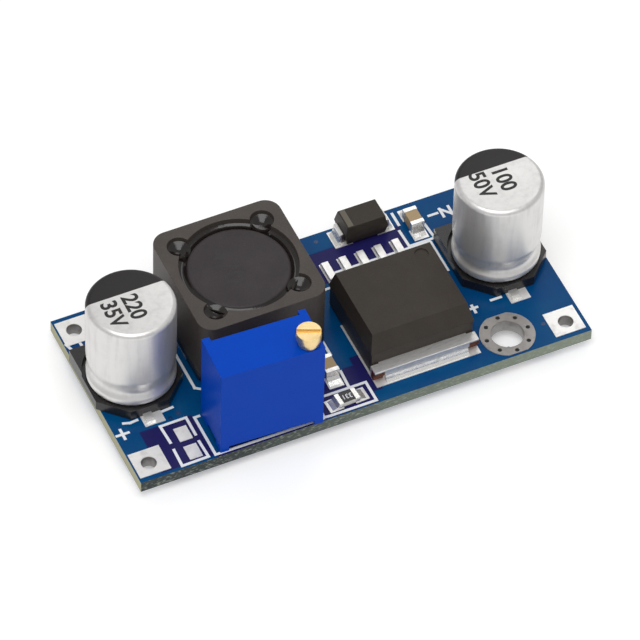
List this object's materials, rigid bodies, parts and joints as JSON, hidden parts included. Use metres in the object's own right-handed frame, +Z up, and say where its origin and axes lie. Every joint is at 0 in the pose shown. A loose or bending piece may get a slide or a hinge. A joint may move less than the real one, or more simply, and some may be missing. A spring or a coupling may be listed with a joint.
{
  "type": "buck converter module",
  "caption": "Adjustable step-down converter: a small circuit board with capacitors, a shielded inductor, a power regulator and a multi-turn trimmer.",
  "frame": {"origin": "below the middle of the board, level with the ends of the trimmer's pins", "axes": "+X along the board towards the input end, +Y to the rear long edge, +Z up out of the component side"},
  "size_m": [0.0433, 0.02, 0.0136],
  "materials": {
    "board_mask": "blue solder mask over laminate",
    "tinned_copper": "bright tin plating",
    "solder": "satin solder",
    "can_aluminium": "satin aluminium with black print",
    "black_moulding": "moulded, satin",
    "ferrite": "ground ferrite, slightly rough",
    "enamelled_copper": "enamelled wire",
    "black_glue": "cured glue, glossy",
    "epoxy": "moulded epoxy, fine grain",
    "tab_metal": "tinned copper with bare cut ends",
    "chip_ceramic": "sintered ceramic",
    "alumina": "white alumina",
    "black_coating": "glossy coating",
    "blue_housing": "moulded, satin",
    "blue_epoxy": "cast epoxy",
    "rubber": "soft rubber",
    "brass": "turned brass",
    "spring_steel": "spring steel",
    "white_nylon": "moulded nylon"
  },
  "bodies": {
    "converter": {"circuit_board": "board_mask", "input_plus_pad": "tinned_copper", "input_minus_pad": "tinned_copper", "output_plus_pad": "tinned_copper", "output_minus_pad": "tinned_copper", "front_fixing_ring": "tinned_copper", "rear_fixing_ring": "tinned_copper", "component_lands": "tinned_copper", "spare_lands": "tinned_copper", "solder_fillets": "solder", "output_capacitor_can": "can_aluminium", "output_capacitor_base": "black_moulding", "output_capacitor_plus_lead": "tinned_copper", "output_capacitor_minus_lead": "tinned_copper", "input_capacitor_can": "can_aluminium", "input_capacitor_base": "black_moulding", "input_capacitor_plus_lead": "tinned_copper", "input_capacitor_minus_lead": "tinned_copper", "inductor_shield": "ferrite", "inductor_core": "ferrite", "inductor_winding": "enamelled_copper", "inductor_glue": "black_glue", "inductor_base": "black_moulding", "inductor_left_terminal": "tinned_copper", "inductor_right_terminal": "tinned_copper", "regulator_body": "epoxy", "regulator_tab": "tab_metal", "regulator_lead_1": "tinned_copper", "regulator_lead_2": "tinned_copper", "regulator_lead_3": "tinned_copper", "regulator_lead_4": "tinned_copper", "regulator_lead_5": "tinned_copper", "diode_body": "epoxy", "diode_anode_lead": "tinned_copper", "diode_cathode_lead": "tinned_copper", "input_chip_body": "chip_ceramic", "input_chip_ends": "tinned_copper", "feedback_chip_body": "chip_ceramic", "feedback_chip_ends": "tinned_copper", "resistor_body": "alumina", "resistor_coating": "black_coating", "resistor_ends": "tinned_copper", "trimmer_housing": "blue_housing", "trimmer_seal": "blue_epoxy", "trimmer_element": "alumina", "trimmer_o_ring": "rubber", "trimmer_pin_1": "tinned_copper", "trimmer_pin_2": "tinned_copper", "trimmer_pin_3": "tinned_copper", "trimmer_pin_solder": "solder"},
    "adjuster": {"trimmer_screw": "brass", "trimmer_retaining_ring": "spring_steel"},
    "wiper_carriage": {"trimmer_carriage": "white_nylon", "trimmer_wiper": "brass"}
  },
  "joints": [
    {"name": "adjuster_turn", "type": "hinge", "parent": "converter", "child": "adjuster", "pos_m": [-0.0055, -0.00896, 0.0122], "axis": [0, 0, 1], "range_deg": [-4500, 4500]},
    {"name": "carriage_slide", "type": "slide", "parent": "converter", "child": "wiper_carriage", "axis": [0, 0, 1], "range_m": [-0.00275, 0.00275]}
  ],
  "couplings": [
    {"joint": "adjuster_turn", "follows": "carriage_slide", "rad_per_m": -28559}
  ]
}
